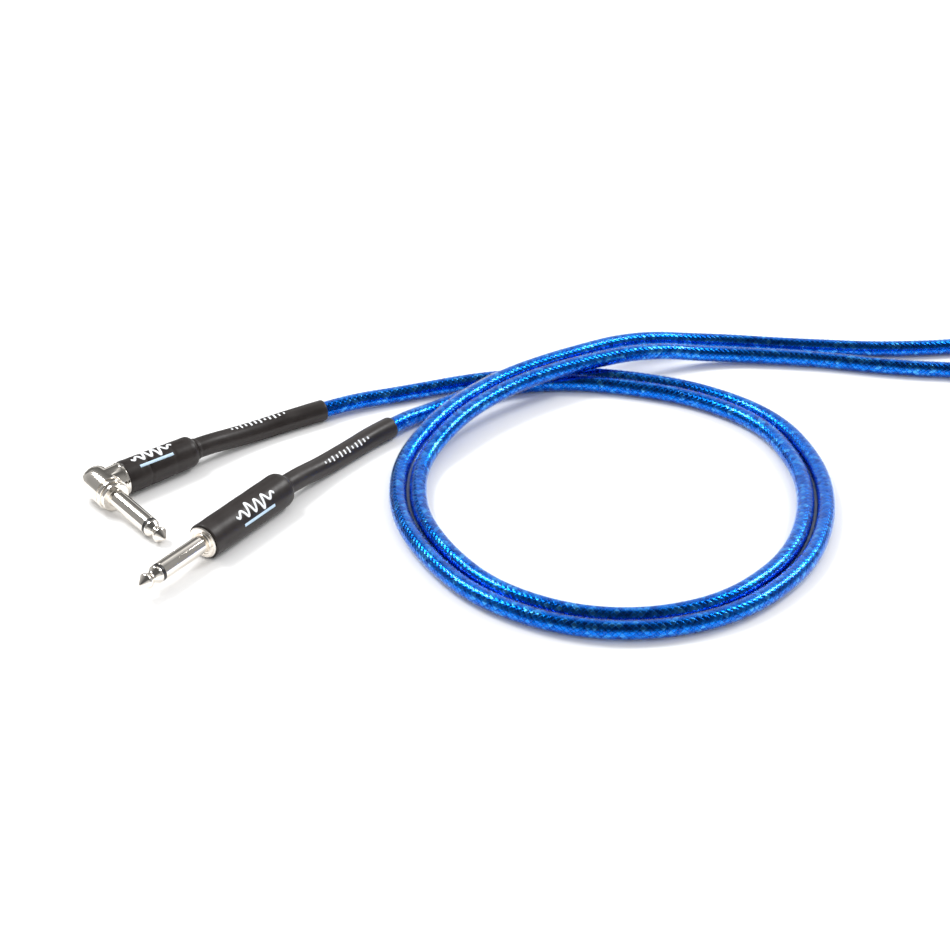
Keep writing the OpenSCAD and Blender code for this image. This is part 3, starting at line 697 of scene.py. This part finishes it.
def camera():
    data = bpy.data.cameras.new("camera")
    data.lens, data.sensor_width = LENS, 36.0
    data.clip_start, data.clip_end = 0.01, 50.0
    obj = bpy.data.objects.new("camera", data)
    obj.location = EYE
    obj.rotation_euler = (TILT, 0, 0)
    bpy.context.scene.collection.objects.link(obj)
    bpy.context.scene.camera = obj


camera()


# ---- Shapes that both plugs share ----------------------------------------------------------
def leaning(origin, axis, lift):
    """The direction round an axis that faces the camera, turned upwards by lift degrees."""
    toward = Place(origin, axis, EYE - np.array(origin)).x
    rise = Place(origin, axis, (0, 0, 1)).x
    rise = unit(rise - (rise @ toward) * toward)
    return math.cos(math.radians(lift)) * toward + math.sin(math.radians(lift)) * rise


def finish_piece(obj, body, slot, *replaced):
    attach(obj, body)
    if replaced:
        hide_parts(*replaced)


def tip_outline(z, rear):
    """The contact from its nose at z, over the waist and the shoulder, to its riveted rear end."""
    return rounded([
        (z, 0), (z + 0.08, 0.32, 0.2), (z + 0.55, 0.85, 0.3), (z + 2.6, 2.62, 0.25),
        (z + 2.95, 2.82, 0.2), (z + 3.5, 2.82, 0.25), (z + 4.2, 2.5, 0.4),
        (z + 5.1, WAIST_R, 0.5), (z + 5.9, WAIST_R, 0.5), (z + 6.7, 2.6, 0.4),
        (z + 7.4, 3.08, 0.25), (z + 7.7, SHAFT_R, 0.1), (z + 8.44, SHAFT_R, 0.12),
        (z + 8.5, 3.0, 0.02), (z + 8.5, STEM_R, 0), (rear - 0.8, STEM_R, 0),
        (rear - 0.8, 1.9, 0.1), (rear - 0.2, 1.9, 0.2), (rear, 1.6, 0.1), (rear, 0),
    ], 0.2, 5)


def ring_outline(front, rear):
    return rounded([(front, RING_R), (front, SHAFT_R), (rear, SHAFT_R), (rear, RING_R)], 0.06, 3)


def tip_and_ring(end, where):
    """The tip contact and its black ring of the straight or the angle plug."""
    nose, rear = span(end + "_tip_contact", where)
    tip = turned(end + "_tip", tip_outline(nose, rear), where, NICKEL)
    finish_piece(tip, end + "_plug", "nickel", end + "_tip_contact")
    ring = turned(end + "_ring", ring_outline(*span(end + "_tip_ring", where)), where, BLACK)
    finish_piece(ring, end + "_plug", "black_plastic", end + "_tip_ring")


def lumpy(wave, depth, bands=()):
    """The shape of shrunk tube: slow unevenness, and bands (z, width, change, tilt) round it."""

    def shape(z, r, angle):
        slow = np.sin(z * wave + 2 * angle) * np.sin(angle * 3 - z * wave * 0.6)
        out = r + depth * slow * (r > SHRUNK_R)
        for at_z, width, change, tilt in bands:
            away = (z - at_z - tilt * np.cos(angle + 0.6)) / width
            out = out + change * np.exp(-(away**2)) * (r > SHRUNK_R)
        return out

    return shape


def handle_outline(front, rear, r0, r1):
    """Heat-shrink over the handle, from radius r0 to r1, that closes to the mouth at the rear."""
    return refined(rounded([
        (front, r0 - 0.6, 0), (front, r0 - 0.16, 0.1), (front + 0.3, r0, 0.25),
        (rear - 2.5, r1, 1.2), (rear - 1.4, r1 - 0.2, 0.8), (rear - 0.65, r1 - 0.75, 0.6),
        (rear - 0.2, r1 - 1.3, 0.4), (rear, HANDLE_MOUTH_R + 0.3, 0.1), (rear, HANDLE_MOUTH_R, 0.05),
        (rear - 0.62, HANDLE_MOUTH_R, 0), (rear - 0.62, r1 - 1.3, 0), (rear - 1.15, r1 - 0.85, 0),
        (rear - 2.2, r1 - 0.6, 0),
    ], 0.1, 5), 0.6)


def sleeve_outline(end):
    """The strain-relief sleeve, from inside the handle's mouth at z = 0, with a bead beside it."""
    return refined(rounded([
        (-3.5, SLEEVE_BORE_R, 0), (-3.5, SLEEVE_R, 0.1), (-0.4, SLEEVE_R, 0.1),
        (0.25, SLEEVE_R + 0.28, 0.25), (0.95, SLEEVE_R + 0.28, 0.3), (1.6, SLEEVE_R, 0.4),
        (9, SLEEVE_R, 3), (end - 16, SLEEVE_R + 0.18, 4), (end - 0.5, SLEEVE_R + 0.25, 0.3),
        (end, SLEEVE_R + 0.05, 0.2), (end, SLEEVE_BORE_R + 0.04, 0.05),
        (end - 0.1, SLEEVE_BORE_R, 0),
    ], 0.1, 5), 1.0)


# Across a stroke of ink: the share of its width, and the height above the surface in mm
INK = ((-0.5, -0.06), (-0.46, 0.035), (0, 0.045), (0.46, 0.035), (0.5, -0.06))


def ink(name, strokes, where, radius, material, width):
    """Printed strokes on a round surface: each is a list of (z, arc) in mm. radius(z) in mm."""
    points, quads = [], []
    n = len(INK)
    for stroke in strokes:
        p = np.array(stroke, float)
        way = np.gradient(p, axis=0)
        way /= np.linalg.norm(way, axis=1)[:, None]
        across = np.stack([-way[:, 1], way[:, 0]], 1)
        start = len(points)
        for k in range(len(p)):
            for share, lift in INK:
                q = p[k] + across[k] * share * width
                r = radius(q[0])
                points.append(where.at(q[0] * MM, (r + lift) * MM, q[1] / r))
        for k in range(len(p) - 1):
            for m in range(n):
                a, b = start + k * n + m, start + k * n + (m + 1) % n
                quads.append((a, b, b + n, a + n))
        tail = start + (len(p) - 1) * n
        quads.append((start, start + 1, start + 2, start + 4))
        quads.append((tail, tail + 4, tail + 2, tail + 1))
    flat = np.array(points)
    uvs = flat[np.array(quads).ravel(), :2] * 40
    return new_mesh(name, flat, quads, uvs, material)


def wave_strokes(z0, z1, height, turns):
    z = np.linspace(z0, z1, int((z1 - z0) * 10))
    share = (z - z0) / (z1 - z0)
    swell = np.sin(share * math.pi) ** 0.6 * (0.55 + 0.45 * np.cos(share * 2 * math.pi * 1.5) ** 2)
    return [list(zip(z, height * swell * np.sin(share * turns * 2 * math.pi)))]


def bar_strokes(z0, z1, arc):
    return [[(z, arc) for z in np.linspace(z0, z1, int((z1 - z0) * 3))]]


def tick_strokes(z0, z1, heights):
    gap = (z1 - z0) / (len(heights) - 1)
    return [
        [(z0 + k * gap, -h / 2 + h * s) for s in np.linspace(0, 1, 6)]
        for k, h in enumerate(heights)
    ]


LEVELS = (0.9, 1.5, 2.2, 1.4, 2.4, 1.8, 2.6, 1.2, 2.0, 2.5, 1.6, 1.0)  # lengths of the ticks


def handle(end, where, radii, lumps):
    outline = handle_outline(*span(end + "_handle_shrink", where), *radii)
    obj = turned(end + "_handle", outline, where, SHRINK, 128, lumps)
    finish_piece(obj, end + "_plug", "shrink", end + "_handle_shrink")


def sleeve(end, where, last, wave):
    """The sleeve, which follows the cable from where.k to the line's point last."""
    length = abs(last - where.k) * STEP / MM
    obj = turned(end + "_sleeve", sleeve_outline(length), where, SLEEVE, 96, lumpy(wave, 0.035))
    finish_piece(obj, end + "_plug", "shrink", end + "_strain_sleeve")


def prints(end, face, tail, radius, flare, wave, bar, ticks):
    """A plain wave and a pale bar on the handle, and a row of ticks on the sleeve."""

    def sleeve_radius(z):
        return SLEEVE_R + max(z - 9, 0) * flare

    for name, strokes, where, r, material, width in (
        ("_wave", wave, face, radius, WHITE_INK, 0.95),
        ("_bar", bar, face, radius, BLUE_INK, 1.1),
        ("_ticks", ticks, tail, sleeve_radius, WHITE_INK, 0.8),
    ):
        finish_piece(ink(end + name, strokes, where, r, material, width), end + "_plug", "shrink")


# ---- Straight plug: z = 0 is the flange's front --------------------------------------------
s_face = Place(s_line[0], s_axis, EYE - s_line[0])
flange_z = span("straight_sleeve_contact", s_face, FLANGE_ONLY_R)[0]
s_face = Place(s_face.o + s_axis * flange_z * MM, s_axis, leaning(s_line[0], s_axis, 4))


def milled(z, r, angle):
    """Shallow notches round the flange's rim."""
    notch = np.clip(np.cos(angle * NOTCHES) * 1.6, -1, 1) * 0.5 + 0.5
    return r - 0.12 * notch * ((r > FLANGE_R - 0.08) & (z > 0.25) & (z < 1.7))


def straight_shaft():
    """The shaft, the groove round its foot, a fine bead, the flange and the threaded rear."""
    front, back = span("straight_sleeve_contact", s_face)
    outline = rounded([
        (front, SHAFT_BORE_R, 0), (front, SHAFT_R, 0.12), (-0.1, SHAFT_R, 0.3), (0.4, 3.5, 0.2),
        (0.4, 4.2, 0.1), (0, 4.3, 0.08), (0, 4.9, 0.03), (0.14, 4.98, 0.03), (0, 5.06, 0.03),
        (0, 5.4, 0.08), (0.25, FLANGE_R, 0.08), (1.75, FLANGE_R, 0.05), (1.75, 4.9, 0),
        (back, 4.9, 0.1), (back, SHAFT_BORE_R, 0),
    ], 0.1, 4)
    obj = turned("straight_shaft", outline, s_face, NICKEL, 240, milled)
    finish_piece(obj, "straight_plug", "nickel", "straight_sleeve_contact")


def straight_print_radius(_):
    return HANDLE_R + 0.04


tip_and_ring("straight", s_face)
straight_shaft()
front, back = span("straight_handle_shrink", s_face)
handle("straight", s_face, (HANDLE_R, HANDLE_R),
       lumpy(0.35, 0.05, ((back - 5, 2.5, 0.07, 0.5), (front + 4, 2.0, -0.05, 0.3))))
s_tail = Along(nearest(s_face.at(back * MM, 0, 0)), 1, s_face.x)
sleeve("straight", s_tail, s_sleeve[1], 0.22)
prints("straight", s_face, s_tail, straight_print_radius, 0.0051, wave_strokes(13, 33, 3.0, 5),
       bar_strokes(15, 31, 4.1), tick_strokes(21, 45, LEVELS))

# ---- Right-angle plug: a_foot's z = 0 is the collar's front, its z points up the drum ------
a_shaft = unit(a_tip[1] - a_tip[0])
across = np.cross(a_axis, a_shaft)
reach_z = np.cross(a_tip[0] - a_line[0], a_shaft) @ across / (across @ across)
elbow = a_line[0] + reach_z * a_axis  # where the handle's axis meets the shaft's
a_body = Place(elbow, a_axis, leaning(elbow, a_axis, 52))
a_side = Place(elbow, a_axis, a_shaft)
a_foot = Place(elbow, -a_shaft, a_axis)
collar_z = span("angle_sleeve_contact", a_foot, 4.1)[0]
a_foot = Place(elbow + a_foot.z * collar_z * MM, -a_shaft, a_axis)


def angle_shaft():
    """The shaft and the collar that the elbow stands on."""
    front, back = span("angle_sleeve_contact", a_foot)
    outline = rounded([
        (front, SHAFT_BORE_R, 0), (front, SHAFT_R, 0.12), (-0.05, SHAFT_R, 0.25), (0, 3.5, 0.1),
        (0, 5.1, 0.1), (0.25, 5.35, 0.12), (1.6, 5.35, 0.1), (1.75, 5.2, 0.05), (1.75, 3.9, 0),
        (back, 3.9, 0.1), (back, SHAFT_BORE_R, 0),
    ], 0.1, 4)
    obj = turned("angle_shaft", outline, a_foot, NICKEL, 128)
    finish_piece(obj, "angle_plug", "nickel", "angle_sleeve_contact")


def pointed(obj):
    """Draws each ring that lies on the axis together into one point, which booleans need."""
    work = bmesh.new()
    work.from_mesh(obj.data)
    bmesh.ops.remove_doubles(work, verts=work.verts, dist=0.006 * MM)
    loose = [e for e in work.edges if not e.link_faces]
    bmesh.ops.delete(work, geom=loose, context="EDGES")
    work.to_mesh(obj.data)
    work.free()


def combined(target, cutters):
    """Joins or cuts the target with each (object, operation), and deletes those objects."""
    pointed(target)
    for obj, operation in cutters:
        pointed(obj)
        mod = target.modifiers.new("cut", "BOOLEAN")
        mod.operation, mod.object, mod.solver = operation, obj, "EXACT"
    dg = bpy.context.evaluated_depsgraph_get()
    made = bpy.data.meshes.new_from_object(target.evaluated_get(dg))
    target.modifiers.clear()
    target.data = made
    for obj, _ in cutters:
        bpy.data.objects.remove(obj)


def elbow_housing():
    """A drum round the shaft's axis and a tube round the handle's, hollowed along both."""
    seat, crown = span("angle_elbow_cap", a_foot)
    rim, neck = span("angle_elbow_housing", a_side, 5.95)[1], span("angle_elbow_housing", a_side)[1]
    drum = turned("angle_elbow", rounded([
        (1.8, 0), (1.8, 5.75, 0.15), (2.05, ELBOW_R, 0.2), (3.35, ELBOW_R, 0.2), (3.6, 5.8, 0.1),
        (3.6, 5.4, 0.05), (4.1, 5.4, 0.05), (4.1, 5.78, 0.1), (4.35, 5.9, 0.15),
        (11.2, 5.9, 1.0), (12.9, 5.84, 0.7), (14.2, 5.55, 0.6), (15.0, 5.1, 0.5),
        (15.5, 4.55, 0.3), (crown, 4.1, 0.1), (crown, 0),
    ], 0.1, 5), a_foot, CAST, 128)
    tube = turned("tube_add", rounded([
        (0, 0), (0, 5.75, 0), (rim - 1.15, ELBOW_R, 0.1), (rim - 0.95, ELBOW_TUBE_R, 0.1),
        (rim, ELBOW_TUBE_R, 0.12), (rim, 4.65, 0), (neck, 4.65, 0), (neck, 0),
    ], 0.1, 4), a_side, CAST, 128)
    bore = turned("bore_cut", np.array([
        (0, 0), (0, ELBOW_BORE_R), (neck + 2, ELBOW_BORE_R), (neck + 2, 0)]), a_side, CAST, 64)
    hollow = turned("hollow_cut", np.array([
        (0, 0), (0, ELBOW_HOLLOW_R), (4.5, ELBOW_HOLLOW_R), (4.5, CAP_R - 0.3),
        (seat, CAP_R - 0.3), (seat, CAP_R + 0.06), (crown + 2, CAP_R + 0.06), (crown + 2, 0),
    ]), a_foot, CAST, 96)
    combined(drum, [(tube, "UNION"), (bore, "DIFFERENCE"), (hollow, "DIFFERENCE")])
    drum.data.set_sharp_from_angle(angle=ELBOW_SHARP)
    finish_piece(drum, "angle_plug", "nickel", "angle_elbow_housing")


def elbow_cap():
    """The pressed-in cap with a shallow dimple."""
    seat, crown = span("angle_elbow_cap", a_foot)
    outline = rounded([
        (seat, 0), (seat, CAP_R, 0.05), (crown - 0.2, CAP_R, 0.1), (crown, CAP_R - 0.2, 0.1),
        (crown, 1.2, 0.1), (crown - 0.25, 1.0, 0.1), (crown - 0.25, 0),
    ], 0.1, 4)
    obj = turned("angle_cap", outline, a_foot, CAST, 96)
    finish_piece(obj, "angle_plug", "nickel", "angle_elbow_cap")


def angle_print_radius(z):
    return 6.31 - (z - 8) * 0.0158


tip_and_ring("angle", a_foot)
angle_shaft()
elbow_housing()
elbow_cap()
handle("angle", a_body, ANGLE_HANDLE_R, lumpy(0.4, 0.05, (
    (13.2, 0.6, 0.04, 0.2), (17.3, 0.4, -0.36, 0.25), (28, 0.45, -0.12, 0.2))))
back = span("angle_handle_shrink", a_body)[1]
a_tail = Along(nearest(a_body.at(back * MM, 0, 0)), -1, a_body.x)
sleeve("angle", a_tail, a_sleeve[0], 0.2)
prints("angle", a_body, a_tail, angle_print_radius, 0.0055, wave_strokes(12, 29, 2.8, 5),
       bar_strokes(13.5, 27.5, 4.0), tick_strokes(17, 40, LEVELS))

# ---- Inside pieces, which keep their CAD shape ---------------------------------------------
INSIDE = {
    "conductor": COPPER, "insulation": CORE, "rod_insulator": CORE, "liner": CORE,
    "cable_clamp": BRASS, "tip_tag": BRASS, "rear_washer": FIBRE, "solder_joints": SOLDER,
    "barrel": CAST,
}
for name, node in nodes.items():
    for ending, material in INSIDE.items():
        if name.endswith(ending):
            node.data.materials.clear()
            node.data.materials.append(material)


# ---- Floor and light -----------------------------------------------------------------------
def grey(k):
    return (k, k, k, 1)


def card(name, corners, material):
    """A flat four-cornered stage piece."""
    obj = new_mesh(name, corners, [(0, 1, 2, 3)], [(0, 0), (1, 0), (1, 1), (0, 1)], material)
    return obj


def studio_world():
    """White for the camera, even light for matt surfaces, and a sweep of greys for shiny ones."""
    world = bpy.data.worlds.new("studio")
    world.cycles.sampling_method = "NONE"
    t = Tree(world)
    way = t.put("SeparateXYZ", {0: t.put("TexCoord").outputs["Generated"]})
    # 0 is the horizon beyond the object, 0.5 straight up, and 1 the horizon behind the camera
    sweep = t.math("DIVIDE", t.math("ARCTAN2", way.outputs[2], way.outputs[1]), math.pi)
    seen = t.ramp(sweep, [
        (0.0, grey(0.95)), (0.3, grey(1.0)), (0.42, grey(0.2)), (0.5, grey(0.1)),
        (0.83, grey(0.1)), (0.91, grey(0.6)), (1.0, grey(0.9)),
    ])
    sides = t.band(t.math("ABSOLUTE", way.outputs[0]), 0.35, 0.85, 0.0, 0.8)
    shiny = t.put("Background", {0: t.mix(sides, seen, grey(0.36)), 1: 1.0}).outputs[0]
    even = t.put("Background", {0: grey(1.0), 1: 0.96}).outputs[0]
    white = t.put("Background", {0: grey(1.0), 1: 1.05}).outputs[0]
    path = t.put("LightPath").outputs
    lit = t.put("MixShader", {0: path["Is Glossy Ray"], 1: even, 2: shiny}).outputs[0]
    final = t.put("MixShader", {0: path["Is Camera Ray"], 1: lit, 2: white}).outputs[0]
    t.feed(t.put("OutputWorld").inputs[0], final)
    return world


def softbox(name, direction, distance, size, power):
    lamp = bpy.data.lights.new(name, "AREA")
    lamp.shape, lamp.size, lamp.energy = "SQUARE", size, power
    obj = bpy.data.objects.new(name, lamp)
    back = Vector(direction).normalized()
    obj.location = back * distance
    obj.rotation_mode = "QUATERNION"
    obj.rotation_quaternion = back.to_track_quat("Z", "Y")
    obj.visible_camera = False
    bpy.context.scene.collection.objects.link(obj)


def flag(x0, x1, y, height):
    """A card behind the plugs that only shiny surfaces see, so that it draws their dark edges."""
    mat = bpy.data.materials.new("flag")
    t = Tree(mat)
    rise = t.put("SeparateXYZ", {0: place(t)}).outputs[2]
    tone = t.ramp(t.math("DIVIDE", rise, height), [
        (0.0, grey(0.02)), (0.1, grey(0.03)), (0.16, grey(0.75)), (0.24, grey(0.8)),
        (0.3, grey(0.12)), (0.75, grey(0.22)), (1.0, grey(0.5)),
    ])
    t.feed(t.put("OutputMaterial").inputs[0], t.put("Emission", {0: tone, 1: 1.0}).outputs[0])
    obj = card("flag", [(x0, y, 0), (x1, y, 0), (x1, y, height), (x0, y, height)], mat)
    obj.visible_camera = obj.visible_diffuse = obj.visible_shadow = False
    obj.visible_transmission = obj.visible_volume_scatter = False


FLOOR = solid_material("floor", (0.88, 0.88, 0.88), (0.87, 0.87, 0.87), 0.9, 0.95, scale=2.0)
card("floor", [(-4, -4, 0), (4, -4, 0), (4, 4, 0), (-4, 4, 0)], FLOOR)
bpy.context.scene.world = studio_world()
softbox("softbox_right", (0.62, 0.36, 0.70), 1.3, 0.4, 7.0)
softbox("softbox_left", (-0.56, 0.3, 0.78), 1.3, 0.4, 9.0)
flag(-0.5, -0.13, 0.17, 0.3)
bpy.context.scene.view_settings.view_transform = "Standard"
bpy.context.scene.view_settings.look = "None"
